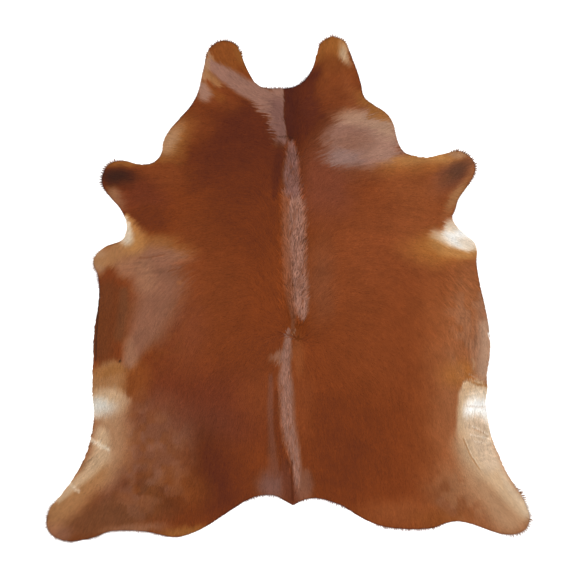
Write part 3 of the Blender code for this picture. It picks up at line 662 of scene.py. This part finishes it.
# Which way the hair grows, from root to tip, at places on the hide: x, y, degrees counted from +X. The hair
# parts at the whorl in the middle of the back: in front of it the ridge grows towards the neck, behind it
# the coat grows to the tail.
GROWTH = (
    (0.03, 0.62, 72), (0.03, 0.45, 66), (0.04, 0.25, 64), (0.04, 0.05, 70), (0.04, -0.10, 82),
    (-0.02, 0.50, 100), (-0.02, 0.30, 112), (-0.02, 0.10, 116), (-0.02, -0.08, 112), (0.025, -0.17, 95),
    (-0.04, 0.60, 165), (-0.04, 0.40, 128), (-0.04, 0.20, 122), (-0.04, 0.00, 125), (-0.05, -0.13, 150),
    (0.10, 0.58, 18), (0.10, 0.38, 40), (0.10, 0.18, 55), (0.10, -0.02, 45), (0.11, -0.15, 15),
    (-0.20, 0.60, 182), (-0.20, 0.38, 178), (-0.22, 0.15, 185), (-0.22, -0.10, 203), (-0.22, -0.30, 228),
    (0.26, 0.58, 14), (0.26, 0.38, 5), (0.27, 0.15, 0), (0.28, -0.10, -18), (0.27, -0.30, -45),
    (-0.45, 0.45, 188), (-0.45, 0.20, 200), (-0.50, 0.00, 228), (-0.52, -0.20, 250), (-0.48, -0.45, 256),
    (0.50, 0.45, -4), (0.50, 0.20, -14), (0.55, 0.00, -38), (0.58, -0.20, -62), (0.55, -0.45, -75),
    (-0.75, 0.12, 235), (-0.78, -0.10, 258), (-0.79, -0.35, 266), (-0.78, -0.55, 252),
    (0.76, 0.12, -30), (0.78, -0.05, -48), (0.81, -0.25, -75), (0.80, -0.50, -92),
    (0.00, -0.24, -90), (0.00, -0.40, -92), (0.00, -0.60, -92), (0.01, -0.80, -90), (0.02, -0.92, -90),
    (-0.13, -0.30, 238), (0.14, -0.30, -55), (-0.15, -0.55, 256), (0.17, -0.55, -76), (-0.15, -0.82, 262),
    (0.17, -0.82, -80), (-0.40, -0.75, 256), (0.42, -0.75, -80), (-0.45, -1.00, 262), (0.48, -0.98, -84),
    (-0.70, -0.70, 250), (-0.75, -0.90, 245), (-0.90, -0.88, 228), (-1.00, -1.02, 228), (-0.80, -1.02, 250),
    (0.70, -0.70, -74), (0.78, -0.90, -66), (0.90, -0.84, -54), (1.00, -0.98, -46), (0.80, -1.00, -68),
    (-0.60, 0.50, 180), (-0.76, 0.48, 168), (-0.62, 0.33, 205), (-0.67, 0.24, 228),
    (0.62, 0.52, 4), (0.77, 0.53, 22), (0.63, 0.33, -15), (0.73, 0.23, -28),
    (-0.045, 0.82, 177), (-0.045, 0.70, 184), (-0.10, 0.76, 178), (-0.26, 0.84, 160), (-0.28, 0.70, 182),
    (-0.43, 0.72, 188), (0.006, 0.84, 100), (0.006, 0.76, 96), (0.008, 0.69, 92), (0.07, 0.78, 8),
    (0.20, 0.80, 20), (0.30, 0.66, 8),
    (0.42, 0.66, 14), (-0.31, 0.93, 128), (-0.28, 1.05, 108), (-0.17, 0.93, 140), (0.17, 0.93, 62),
    (0.20, 1.06, 80),
    (0.27, 0.92, 48), (-0.05, 0.87, 120), (0.04, 0.88, 70),
)


def rgb(code):
    """The parts of a hex colour, from 0 to 1."""
    return np.array([int(code[i:i + 2], 16) / 255 for i in (0, 2, 4)])


def linear(colour):
    """Screen colour to the linear colour that materials use."""
    return np.where(colour <= 0.04045, colour / 12.92, ((np.maximum(colour, 0.0) + 0.055) / 1.055) ** 2.4)


def fade(distance, softness):
    """1 well inside and 0 well outside distance 1, across a smooth edge whose width is the softness."""
    t = np.clip((1.0 + softness / 2 - distance) / softness, 0.0, 1.0)
    return t * t * (3 - 2 * t)


def patch_weight(x, y, cx, cy, half_length, half_width, turn, softness):
    angle = math.radians(turn)
    u = (x - cx) * math.cos(angle) + (y - cy) * math.sin(angle)
    v = -(x - cx) * math.sin(angle) + (y - cy) * math.cos(angle)
    return fade(np.hypot(u / half_length, v / half_width), softness)


def stripe_weight(x, y, path, softness):
    nearest = np.full(len(x), FAR)
    for (x0, y0, w0), (x1, y1, w1) in zip(path, path[1:]):
        dx, dy = x1 - x0, y1 - y0
        share = np.clip(((x - x0) * dx + (y - y0) * dy) / (dx * dx + dy * dy), 0.0, 1.0)
        reach = np.hypot(x - x0 - share * dx, y - y0 - share * dy) / (w0 + share * (w1 - w0))
        nearest = np.minimum(nearest, reach)
    return fade(nearest, softness)


def between(table, i, j, i_next, j_next, s, t):
    """A table's values between four of its cells."""
    low = table[i, j] * (1 - s) + table[i_next, j] * s
    high = table[i, j_next] * (1 - s) + table[i_next, j_next] * s
    return low * (1 - t) + high * t


def lattice_noise(x, y, cell, seed):
    """Smooth noise between about -1 and 1, with blobs one cell wide."""
    n = NOISE_TABLE
    table = np.random.default_rng(seed).uniform(-1.0, 1.0, (n, n))
    u, v = x / cell + n / 2, y / cell + n / 2
    i, j = np.floor(u).astype(int), np.floor(v).astype(int)
    s, t = u - i, v - j
    s, t = s * s * (3 - 2 * s), t * t * (3 - 2 * t)
    return between(table, i % n, j % n, (i + 1) % n, (j + 1) % n, s, t)


def streak_noise(x, y, along_x, along_y, cell, reach, seed):
    """Noise drawn out into streaks along a direction, with a spread of 1."""
    steps = np.linspace(-reach, reach, STREAK_STEPS)
    total = sum(lattice_noise(x + s * along_x, y + s * along_y, cell, seed) for s in steps)
    return np.clip(total / total.std(), -STREAK_LIMIT, STREAK_LIMIT)


def lay(colour, weight, shade):
    return colour + weight[:, None] * (rgb(PALETTE[shade]) - colour)


def lay_paths(colour, x, y, table):
    for name, shade, softness, strength, path in table:
        colour = lay(colour, strength * stripe_weight(x, y, path, softness), shade)
    return colour


def coat_colour(x, y):
    """The coat's screen colour at places of the hide, without its hairs."""
    wx = x + sum(reach * lattice_noise(x, y, cell, seed) for reach, cell, seed, other in WAVERS)
    wy = y + sum(reach * lattice_noise(x, y, cell, seed) for reach, cell, other, seed in WAVERS)
    colour = np.tile(rgb(PALETTE[BASE]), (len(x), 1))
    for name, shade, *place, strength in PATCHES:
        colour = lay(colour, strength * patch_weight(wx, wy, *place), shade)
    for seed, (name, shade, *place, cell, strength) in enumerate(CLOUDS, SEEDS["clouds"]):
        cloud = fade(1.0 - 2.0 * lattice_noise(x, y, cell, seed), CLOUD_SOFTNESS)
        weight = strength * cloud * patch_weight(wx, wy, *place, CLOUD_PLACE_SOFTNESS)
        colour = lay(colour, weight, shade)
    colour = lay_paths(colour, x, y, STRIPES)
    mottle = sum((strength * lattice_noise(x, y, cell, seed) for strength, cell, seed in MOTTLE), 1.0)
    return colour * mottle[:, None]


def ripple_height(x, y):
    """The small wrinkles of the thin skin, up and down from its mean height."""
    height = np.zeros(len(x))
    for seed, (name, *place, turn, spacing, rise) in enumerate(RIPPLES, SEEDS["ripples"]):
        cos, sin = math.cos(math.radians(turn)), math.sin(math.radians(turn))
        weight = patch_weight(x, y, *place, turn, RIPPLE_SOFTNESS)
        near = weight > 0.0
        cell, run = RIPPLE_CELL * spacing, RIPPLE_RUN * spacing
        if near.any():
            height[near] += rise * weight[near] * streak_noise(x[near], y[near], cos, sin, cell, run, seed)
    return height


class Chart:
    """Values on a square grid over the hide, read in between its points."""

    def __init__(self, values):
        self.values = values

    def at(self, x, y):
        u = np.clip((x - CHART_X[0]) / CHART_STEP, 0, len(CHART_X) - CHART_END)
        v = np.clip((y - CHART_Y[0]) / CHART_STEP, 0, len(CHART_Y) - CHART_END)
        i, j = u.astype(int), v.astype(int)
        return between(self.values, i, j, i + 1, j + 1, u - i, v - j)


def welded_hide():
    bm = bmesh.new()
    bm.from_mesh(HIDE.data)
    bmesh.ops.remove_doubles(bm, verts=bm.verts, dist=WELD)
    bm.normal_update()
    return bm


def rim_of(bm):
    """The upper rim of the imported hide, in order round it, as (x, y) rows."""
    walls = [face for face in bm.faces if abs(face.normal.z) < WALL_SLOPE]
    following = {}
    for face in walls:
        for corner in face.loops:
            if any(other.normal.z > WALL_SLOPE for other in corner.edge.link_faces):
                following[corner.vert] = corner.link_loop_next.vert
    start = next(iter(following))
    ring = [start]
    while following[ring[-1]] is not start:
        ring.append(following[ring[-1]])
    points = np.array([(vertex.co.x, vertex.co.y) for vertex in ring])
    x, y = points.T
    turned = np.sum(x * np.roll(y, -1) - np.roll(x, -1) * y)
    return points if turned > 0 else points[::-1]


def walked(ring, spacing):
    """Points at even steps round a closed line."""
    closed = np.vstack([ring, ring[:1]])
    reach = np.concatenate([[0.0], np.cumsum(np.hypot(*np.diff(closed, axis=0).T))])
    stops = np.linspace(0.0, reach[-1], round(reach[-1] / spacing), endpoint=False)
    return np.stack([np.interp(stops, reach, closed[:, 0]), np.interp(stops, reach, closed[:, 1])], axis=1)


def inward(ring):
    """Unit vectors that point into the hide from each point of its rim."""
    along = np.roll(ring, -1, axis=0) - np.roll(ring, 1, axis=0)
    along /= np.hypot(along[:, 0], along[:, 1])[:, None]
    return np.stack([-along[:, 1], along[:, 0]], axis=1)


def charts_of(bm, rim):
    """Charts of the solid's underside and upper side, and of how far inside the rim a place is."""
    tree = BVHTree.FromBMesh(bm)
    border = walked(rim, BORDER_STEP)
    nearest = KDTree(len(border))
    for index, (x, y) in enumerate(border):
        nearest.insert((x, y, 0.0), index)
    nearest.balance()
    up, down = Vector((0, 0, 1)), Vector((0, 0, -1))
    shape = (len(CHART_X), len(CHART_Y))
    low, high, inside = np.zeros(shape), np.zeros(shape), np.zeros(shape)
    for i, x in enumerate(CHART_X):
        for j, y in enumerate(CHART_Y):
            place = Vector((x, y, 0.0))
            edge, index, distance = nearest.find(place)
            top = tree.ray_cast(Vector((x, y, RAY_START)), down)[0]
            inside[i, j] = distance if top else -distance
            if not top:
                place = edge + (edge - place).normalized() * CHART_STEP
                top = tree.ray_cast(Vector((place.x, place.y, RAY_START)), down)[0]
            bottom = tree.ray_cast(Vector((place.x, place.y, -RAY_START)), up)[0]
            high[i, j] = top.z if top else SOLID_SHEET
            low[i, j] = bottom.z if bottom else 0.0
    return Chart(low), Chart(high), Chart(inside)


def growth_charts():
    """Charts of the growth's cosine and sine, blended from the table's places."""
    x, y = np.meshgrid(CHART_X, CHART_Y, indexing="ij")
    cos, sin = np.zeros(x.shape), np.zeros(x.shape)
    for gx, gy, angle in GROWTH:
        pull = 1.0 / ((x - gx) ** 2 + (y - gy) ** 2 + GROWTH_REACH ** 2) ** 2
        cos += pull * math.cos(math.radians(angle))
        sin += pull * math.sin(math.radians(angle))
    length = np.maximum(np.hypot(cos, sin), TINY)
    return Chart(cos / length), Chart(sin / length)


def growth_angle(x, y):
    return np.arctan2(GROWTH_SIN.at(x, y), GROWTH_COS.at(x, y))


def honeycomb(pitch, jitter, seed):
    """Places in a honeycomb over the whole chart, each moved at random by up to the jitter."""
    rng = np.random.default_rng(seed)
    across = np.arange(CHART_X[0], CHART_X[-1], pitch)
    rows = np.arange(CHART_Y[0], CHART_Y[-1], pitch * math.sqrt(3) / 2)
    y, x = np.meshgrid(rows, across, indexing="ij")
    x[1::2] += pitch / 2
    x, y = x.ravel(), y.ravel()
    turn = rng.uniform(0, 2 * math.pi, len(x))
    reach = jitter * np.sqrt(rng.uniform(0, 1, len(x)))
    return x + reach * np.cos(turn), y + reach * np.sin(turn)


def skin_top(x, y):
    return UNDERSIDE.at(x, y) + LEATHER


def coat_top(x, y):
    return np.maximum(UPPER_SIDE.at(x, y), skin_top(x, y) + LEAST_COAT) + ripple_height(x, y)


def build_piece(name, points, triangles, material):
    """A smooth mesh from arrays of points and triangles, which moves with the hide."""
    mesh = bpy.data.meshes.new(name)
    mesh.vertices.add(len(points))
    mesh.vertices.foreach_set("co", points.astype(np.float32).ravel())
    mesh.loops.add(triangles.size)
    mesh.loops.foreach_set("vertex_index", triangles.astype(np.int32).ravel())
    mesh.polygons.add(len(triangles))
    mesh.polygons.foreach_set("loop_start", np.arange(0, triangles.size, 3, dtype=np.int32))
    mesh.update(calc_edges=True)
    mesh.shade_smooth()
    mesh.materials.append(material)
    piece = bpy.data.objects.new(name, mesh)
    bpy.context.scene.collection.objects.link(piece)
    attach(piece, "root")
    return piece


def paint(piece, colour):
    """Writes each point's screen colour as linear colour for the material, less what the gloss adds."""
    layer = piece.data.color_attributes.new("coat_colour", "FLOAT_COLOR", "POINT")
    rgba = np.ones((len(colour), 4), np.float32)
    rgba[:, :3] = np.maximum(linear(colour) - GLOSS_VEIL, DARKEST)
    layer.data.foreach_set("color", rgba.ravel())


def unwrap(piece, name, uv, triangles):
    layer = piece.data.uv_layers.new(name=name)
    layer.uv.foreach_set("vector", uv[triangles].astype(np.float32).ravel())


def plan_uv(points):
    """The place of each point in a square that fits the piece as seen from above."""
    low = points[:, :2].min(axis=0)
    return (points[:, :2] - low) / (points[:, :2].max(axis=0) - low).max()


def skin_net(rim):
    """The skin's flat net: points, triangles, which points are its rim, and the line round its edge."""
    ring = walked(rim, RIM_STEP)
    pull = inward(ring)
    edge_line = ring + pull * SKIN_INSET
    face_line = edge_line + pull * EDGE_ROUNDING
    x, y = honeycomb(SKIN_CELL, 0.0, SEEDS["skin"])
    deep = INSIDE.at(x, y) > SKIN_INSET + EDGE_ROUNDING + SKIN_RIM_GAP * SKIN_CELL
    count = len(face_line)
    plan = [Vector(row) for row in np.vstack([face_line, np.stack([x[deep], y[deep]], axis=1)])]
    loop = [(i, (i + 1) % count) for i in range(count)]
    flat, edges, faces, origins = delaunay_2d_cdt(plan, loop, [], 1, NET_TOLERANCE)[:4]
    place_of = {source: index for index, sources in enumerate(origins) for source in sources}
    rim_index = np.array([place_of[i] for i in range(count)])
    net = np.array([(point.x, point.y) for point in flat])
    triangles = np.array([face for face in faces if len(face) == 3])
    a, b, c = (net[triangles[:, k]] for k in range(3))
    turned = (b[:, 0] - a[:, 0]) * (c[:, 1] - a[:, 1]) - (c[:, 0] - a[:, 0]) * (b[:, 1] - a[:, 1])
    return net, np.where(turned[:, None] > 0, triangles, triangles[:, ::-1]), rim_index, edge_line


def flesh_and_skin(rim, materials):
    """The leather: a thin closed sheet with a rounded edge, pale below; its top is painted dark as shade under
    the coat.
    """
    net, top_faces, rim_index, edge_line = skin_net(rim)
    lower = UNDERSIDE.at(*net.T)
    half_way = UNDERSIDE.at(*edge_line.T) + LEATHER / 2
    points = np.vstack([
        np.column_stack([net, lower + LEATHER]),
        np.column_stack([net, lower]),
        np.column_stack([edge_line, half_way]),
    ])
    size = len(net)
    here = np.arange(len(edge_line)) + 2 * size
    top, low = rim_index, rim_index + size
    here_next, top_next, low_next = (np.roll(row, -1) for row in (here, top, low))
    walls = np.vstack([
        np.stack([here, here_next, top_next], axis=1),
        np.stack([here, top_next, top], axis=1),
        np.stack([low, low_next, here_next], axis=1),
        np.stack([low, here_next, here], axis=1),
    ])
    triangles = np.vstack([top_faces, top_faces[:, ::-1] + size, walls])
    skin = build_piece("hide_skin", points, triangles, materials["undercoat"])
    skin.data.materials.append(materials["flesh side"])
    kinds = np.ones(len(triangles), np.int32)
    kinds[:len(top_faces)] = 0
    skin.data.polygons.foreach_set("material_index", kinds)
    # The skin's top is painted a darker copy of the coat's colour, as shade under the locks.
    paint(skin, UNDERCOAT_SHADE * coat_colour(points[:, 0], points[:, 1]))
    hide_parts("hide")
    return skin


def ahead(x, y, cos, sin, along, aside=0.0):
    """The places that lie some way along a direction and to its left."""
    return x + along * cos - aside * sin, y + along * sin + aside * cos


def edge_held(x, y, cos, sin, length):
    """Lengths cut back until no tip stands further past the rim than the overhang."""
    for _ in range(EDGE_TRIALS):
        past = INSIDE.at(*ahead(x, y, cos, sin, length)) < -OVERHANG
        length = np.where(past, EDGE_CUT * length, length)
    return length


def visible_colour(x, y, cos, sin, rng):
    """The colour a lock shows: streaks draw it along the growth, so that patches end in combed points."""
    comb = streak_noise(x, y, cos, sin, COMB_CELL, COMB_RUN, SEEDS["combing"])
    further = (far * patch_weight(x, y, *place, COMB_SOFTNESS) for name, *place, far in COMBED)
    drawn = (COMB_REACH + sum(further)) * comb + rng.normal(0.0, COMB_SCATTER, len(x))
    colour = lay_paths(coat_colour(*ahead(x, y, cos, sin, drawn)), x, y, MARKS)
    streaks = (strength * streak_noise(x, y, cos, sin, *streak) for strength, *streak in STREAKS)
    light = sum(streaks, 1.0) + rng.normal(0.0, LOCK_SCATTER, len(x))
    # Painted shade and light of the wrinkles: darker in their troughs, lighter on their crests.
    light += WRINKLE_SHADE * ripple_height(x, y)
    rim_dark = RIM_DARKENING * fade(np.abs(INSIDE.at(x, y)) / RIM_DARK_WIDTH, RIM_SOFTNESS)
    rim_dark *= fade(colour[:, 0] / PALE_RED, PALE_SOFTNESS)
    return colour * (light * (1.0 - rim_dark))[:, None]


def hair_piece(name, places, colour, strand, hair, faces, materials):
    """One piece of hairs of a kind: for each a row of places, a colour and its own strip of the strands."""
    across, along, tones = np.array(hair).T
    triangles = (places.shape[1] * np.arange(len(places))[:, None, None] + np.array(faces)).reshape(-1, 3)
    uv = np.empty((*places.shape[:2], 2))
    uv[:, :, 0] = strand[:, None] + across
    uv[:, :, 1] = along
    points = places.reshape(-1, 3)
    piece = build_piece(name, points, triangles, materials["coat"])
    paint(piece, (colour[:, None, :] * tones[None, :, None]).reshape(-1, 3))
    unwrap(piece, "strand", uv.reshape(-1, 2), triangles)
    unwrap(piece, "OFBake", plan_uv(points), triangles)
    return piece


def coat_locks(materials):
    """The lying coat in five pieces: each lock is a ridged kite from its root in the skin to its tip."""
    rng = np.random.default_rng(SEEDS["locks"])
    x, y = honeycomb(LOCK_PITCH, LOCK_JITTER * LOCK_PITCH, SEEDS["roots"])
    rooted = INSIDE.at(x, y) > SKIN_INSET + ROOT_INSET
    x, y = x[rooted], y[rooted]
    count = len(x)
    angle = growth_angle(x, y) + rng.normal(0.0, math.radians(LOCK_TURN), count)
    angle += math.radians(CLUMP_TURN) * lattice_noise(x, y, CLUMP_SIZE, SEEDS["clumps"])
    cos, sin = np.cos(angle), np.sin(angle)
    length = edge_held(x, y, cos, sin, LOCK_LENGTH * rng.uniform(*LOCK_LENGTHS, count))
    half = 0.5 * LOCK_WIDTH * rng.uniform(*LOCK_WIDTHS, count)
    shoulder = LOCK_SHOULDER * length
    tip = ahead(x, y, cos, sin, length)
    beyond = np.clip(-INSIDE.at(*tip) / OVERHANG, 0.0, 1.0)
    sink = rng.uniform(0.0, LOCK_SINK, count) + EDGE_DROOP * beyond
    root_z = skin_top(x, y) - ROOT_DEPTH
    tip_z = np.maximum(coat_top(*tip) - sink, skin_top(*tip))
    side_z = root_z + LOCK_SHOULDER * (tip_z - root_z) - LOCK_RIDGE
    left, right = (ahead(x, y, cos, sin, shoulder, aside) for aside in (half, -half))
    places = np.array([(x, y, root_z), (*left, side_z), (*right, side_z), (*tip, tip_z)]).transpose(2, 0, 1)
    colour = visible_colour(*ahead(x, y, cos, sin, LOCK_SHOWS * length), cos, sin, rng)
    strand = rng.integers(0, STRANDS, count).astype(float)
    pieces = []
    for name, low_x, high_x, low_y, high_y in COAT_PIECES:
        part = (x >= low_x) & (x < high_x) & (y >= low_y) & (y < high_y)
        hairs = (places[part], colour[part], strand[part])
        pieces.append(hair_piece(name, *hairs, LOCK_POINTS, LOCK_FACES, materials))
    return pieces


def along_path(path, pitch, seed):
    """Random places inside a stripe that follows a path, about one for each square of the pitch."""
    rng = np.random.default_rng(seed)
    rows = []
    for (x0, y0, w0), (x1, y1, w1) in zip(path, path[1:]):
        length = math.hypot(x1 - x0, y1 - y0)
        count = round(length * (w0 + w1) / pitch ** 2)
        share = rng.uniform(0, 1, count)
        aside = rng.uniform(-1, 1, count) * (w0 + share * (w1 - w0))
        across_x, across_y = -(y1 - y0) / length, (x1 - x0) / length
        rows.append((x0 + share * (x1 - x0) + aside * across_x, y0 + share * (y1 - y0) + aside * across_y))
    return np.concatenate(rows, axis=1)


def tufts(name, x, y, angle, length, looks, materials, seed):
    """Longer curved hairs that stand up from the lying coat, lighter and darker in streaks."""
    rng = np.random.default_rng(seed)
    count = len(x)
    cos, sin = np.cos(angle), np.sin(angle)
    half = 0.5 * looks["width"] * rng.uniform(*TUFT_WIDTHS, count)
    curl = rng.normal(0.0, looks["bend"], count) * length
    lift = looks["rise"] * rng.uniform(*TUFT_LIFTS, count)
    shoulder = TUFT_SHOULDER * length
    low, left, right = (ahead(x, y, cos, sin, shoulder, aside) for aside in (0.0, half, -half))
    low_z = coat_top(*low) + SHOULDER_LIFT * lift
    knee = ahead(x, y, cos, sin, TUFT_KNEE * length, curl)
    tip = ahead(x, y, cos, sin, length, 2 * curl)
    places = np.array([
        (x, y, skin_top(x, y)),
        (*left, low_z),
        (*right, low_z),
        (*knee, coat_top(*knee) + lift),
        (*tip, coat_top(*tip) + TIP_LIFT * lift),
    ]).transpose(2, 0, 1)
    colour = coat_colour(*ahead(x, y, cos, sin, TUFT_SHOWS * length))
    streaks = looks["streak"] * streak_noise(x, y, cos, sin, TUFT_CELL, TUFT_RUN, SEEDS["tuft streaks"])
    colour = lay(colour, np.clip(-TUFT_SHADING * streaks, 0.0, 1.0), TUFT_SHADE)
    light = 1.0 + TUFT_GLEAM * np.maximum(streaks, 0.0) + rng.normal(0.0, TUFT_SCATTER, count)
    colour *= (looks["tone"] * light)[:, None]
    strand = rng.integers(0, STRANDS, count).astype(float)
    return hair_piece(name, places, colour, strand, TUFT_POINTS, TUFT_FACES, materials)


def ridge_tufts(materials):
    places = [along_path(path, pitch, seed) for name, pitch, seed, path in TUFT_LINES]
    x, y = np.concatenate(places, axis=1)
    rng = np.random.default_rng(SEEDS["ridge"])
    angle = growth_angle(x, y) + rng.normal(0.0, math.radians(TUFT_TURN), len(x))
    length = TUFT_LENGTH * rng.uniform(*TUFT_LENGTHS, len(x))
    return tufts("coat_ridge", x, y, angle, length, RIDGE_LOOKS, materials, SEEDS["ridge tufts"])


def rim_teeth(rim, materials):
    """Small teeth of stiff hair past the edge, where the skin was cut across its growth."""
    rng = np.random.default_rng(SEEDS["teeth"])
    ring = walked(rim, TOOTH_STEP)
    pull = inward(ring)
    stand = np.max([
        length * fade(np.hypot(ring[:, 0] - cx, ring[:, 1] - cy) / reach, TOOTH_SOFTNESS)
        for name, cx, cy, reach, length in BRISTLY_EDGES
    ], axis=0)
    kept = stand > OVERHANG
    ring, pull, stand = ring[kept], pull[kept], stand[kept]
    along = np.stack([pull[:, 1], -pull[:, 0]], axis=1)
    ring = ring + along * rng.normal(0.0, TOOTH_SHIFT, len(ring))[:, None]
    angle = growth_angle(*ring.T)
    lean = TOOTH_LEAN * np.stack([np.cos(angle), np.sin(angle)], axis=1) - pull
    lean /= np.hypot(*lean.T)[:, None]
    tips = ring + lean * (stand * rng.uniform(*TOOTH_HEIGHTS, len(ring)))[:, None]
    tips, ring, pull, along = np.repeat([tips, ring, pull, along], HAIRS_IN_A_TOOTH, axis=1)
    depth = rng.uniform(SKIN_INSET + TOOTH_ROOT, SKIN_INSET + TOOTH_DEPTH, len(ring))
    aside = rng.uniform(-TOOTH_HALF, TOOTH_HALF, len(ring))
    roots = ring + pull * depth[:, None] + along * aside[:, None]
    reach = tips + rng.normal(0.0, TOOTH_BLUNT, tips.shape) - roots
    angle, length = np.arctan2(reach[:, 1], reach[:, 0]), np.hypot(*reach.T)
    return tufts("coat_rim", *roots.T, angle, length, RIM_LOOKS, materials, SEEDS["tooth hairs"])


def new_material(name, looks):
    """A material with the given constant values on its shader, with its node tree and that shader."""
    material = bpy.data.materials.new(name)
    material.use_nodes = True
    tree = material.node_tree
    shader = tree.nodes["Principled BSDF"]
    for socket, value in looks.items():
        shader.inputs[socket].default_value = value
    return material, tree, shader


def noise_node(tree, vector, scale, detail):
    node = tree.nodes.new("ShaderNodeTexNoise")
    node.inputs["Scale"].default_value = scale
    node.inputs["Detail"].default_value = detail
    tree.links.new(vector, node.inputs["Vector"])
    return node.outputs["Fac"]


def ranged(tree, value, low, high):
    node = tree.nodes.new("ShaderNodeMapRange")
    node.inputs["To Min"].default_value = low
    node.inputs["To Max"].default_value = high
    tree.links.new(value, node.inputs["Value"])
    return node.outputs["Result"]


def bump(tree, shader, value, strength, distance):
    node = tree.nodes.new("ShaderNodeBump")
    node.inputs["Strength"].default_value = strength
    node.inputs["Distance"].default_value = distance
    tree.links.new(value, node.inputs["Height"])
    tree.links.new(node.outputs["Normal"], shader.inputs["Normal"])


def painted(tree):
    node = tree.nodes.new("ShaderNodeAttribute")
    node.attribute_name = "coat_colour"
    return node.outputs["Color"]


def shaded(tree, colour, factor):
    """The colour times a factor."""
    node = tree.nodes.new("ShaderNodeVectorMath")
    node.operation = "SCALE"
    tree.links.new(colour, node.inputs[0])
    tree.links.new(factor, node.inputs["Scale"])
    return node.outputs["Vector"]


def coat_material():
    """Glossy hair: the painted colour, broken up by single hairs along each lock."""
    material, tree, shader = new_material("lying coat", {"Specular IOR Level": 0.12})
    strand = tree.nodes.new("ShaderNodeUVMap")
    strand.uv_map = "strand"
    stretch = tree.nodes.new("ShaderNodeMapping")
    stretch.inputs["Scale"].default_value = (HAIRS_IN_A_LOCK, HAIR_WAVES, 1.0)
    tree.links.new(strand.outputs["UV"], stretch.inputs["Vector"])
    hairs = noise_node(tree, stretch.outputs["Vector"], scale=1.0, detail=2.0)
    tone = ranged(tree, hairs, low=COAT_GAIN * HAIR_TONES[0], high=COAT_GAIN * HAIR_TONES[1])
    tree.links.new(shaded(tree, painted(tree), tone), shader.inputs["Base Color"])
    tree.links.new(ranged(tree, hairs, low=0.42, high=0.60), shader.inputs["Roughness"])
    bump(tree, shader, hairs, strength=0.5, distance=0.0002)
    return material


def undercoat_material():
    """The skin between the locks, painted darker than the coat as the shade among the hair."""
    material, tree, shader = new_material("undercoat", {"Roughness": 0.8, "Specular IOR Level": 0.1})
    place = tree.nodes.new("ShaderNodeTexCoord").outputs["Object"]
    down = noise_node(tree, place, scale=900.0, detail=3.0)
    tone = ranged(tree, down, low=0.7, high=1.2)
    tree.links.new(shaded(tree, painted(tree), tone), shader.inputs["Base Color"])
    bump(tree, shader, down, strength=0.6, distance=0.0004)
    return material


def flesh_material():
    """The suede of the flesh side, pale and a little blotchy, with a fine nap."""
    looks = {"Specular IOR Level": 0.2, "Sheen Weight": 0.15}
    material, tree, shader = new_material("flesh side suede", looks)
    place = tree.nodes.new("ShaderNodeTexCoord").outputs["Object"]
    blotches = noise_node(tree, place, scale=7.0, detail=5.0)
    nap = noise_node(tree, place, scale=700.0, detail=4.0)
    tint = tree.nodes.new("ShaderNodeValToRGB")
    for stop, (position, code) in zip(tint.color_ramp.elements, FLESH_STOPS):
        stop.position = position
        stop.color = (*linear(rgb(code)), 1.0)
    tree.links.new(blotches, tint.inputs["Fac"])
    tone = ranged(tree, nap, low=0.88, high=1.08)
    tree.links.new(shaded(tree, tint.outputs["Color"], tone), shader.inputs["Base Color"])
    tree.links.new(ranged(tree, nap, low=0.78, high=0.95), shader.inputs["Roughness"])
    bump(tree, shader, nap, strength=0.5, distance=0.0003)
    return material


def studio():
    """A white floor under soft light from all round, with the main light from the upper left."""
    scene = bpy.context.scene
    world = bpy.data.worlds.new("studio")
    world.use_nodes = True
    background = world.node_tree.nodes["Background"]
    background.inputs["Color"].default_value = WHITE
    background.inputs["Strength"].default_value = WORLD_LIGHT
    scene.world = world
    scene.view_settings.view_transform = "Standard"
    for name, height, azimuth, strength, softness in SUNS:
        light = bpy.data.lights.new(name, "SUN")
        light.energy = strength
        light.angle = math.radians(softness)
        lamp = bpy.data.objects.new(name, light)
        lamp.rotation_euler = (math.radians(90 - height), 0.0, math.radians(azimuth + 90))
        scene.collection.objects.link(lamp)
    bpy.ops.mesh.primitive_plane_add(size=FLOOR_SIZE, location=(0.0, 0.0, -FLOOR_GAP))
    floor = bpy.context.object
    floor.name = "floor"
    looks = {
        "Base Color": (FLOOR_GREY, FLOOR_GREY, FLOOR_GREY, 1.0),
        "Roughness": 0.9,
        "Specular IOR Level": 0.0,
        "Emission Color": WHITE,
        "Emission Strength": FLOOR_GLOW,
    }
    floor.data.materials.append(new_material("white floor", looks)[0])


def camera():
    lens = bpy.data.cameras.new("camera")
    lens.lens = LENS
    lens.sensor_width = SENSOR
    eye = bpy.data.objects.new("camera", lens)
    distance = 0.5 * FRAME_SIDE / (0.5 * SENSOR / LENS)
    eye.location = (*FRAME_MIDDLE, SOLID_SHEET + distance)
    bpy.context.scene.collection.objects.link(eye)
    bpy.context.scene.camera = eye


hide_mesh = welded_hide()
hide_rim = rim_of(hide_mesh)
UNDERSIDE, UPPER_SIDE, INSIDE = charts_of(hide_mesh, hide_rim)
hide_mesh.free()
GROWTH_COS, GROWTH_SIN = growth_charts()

MATERIALS = {"coat": coat_material(), "undercoat": undercoat_material(), "flesh side": flesh_material()}
hide_skin = flesh_and_skin(hide_rim, MATERIALS)
coat = coat_locks(MATERIALS) + [ridge_tufts(MATERIALS), rim_teeth(hide_rim, MATERIALS)]

studio()
camera()
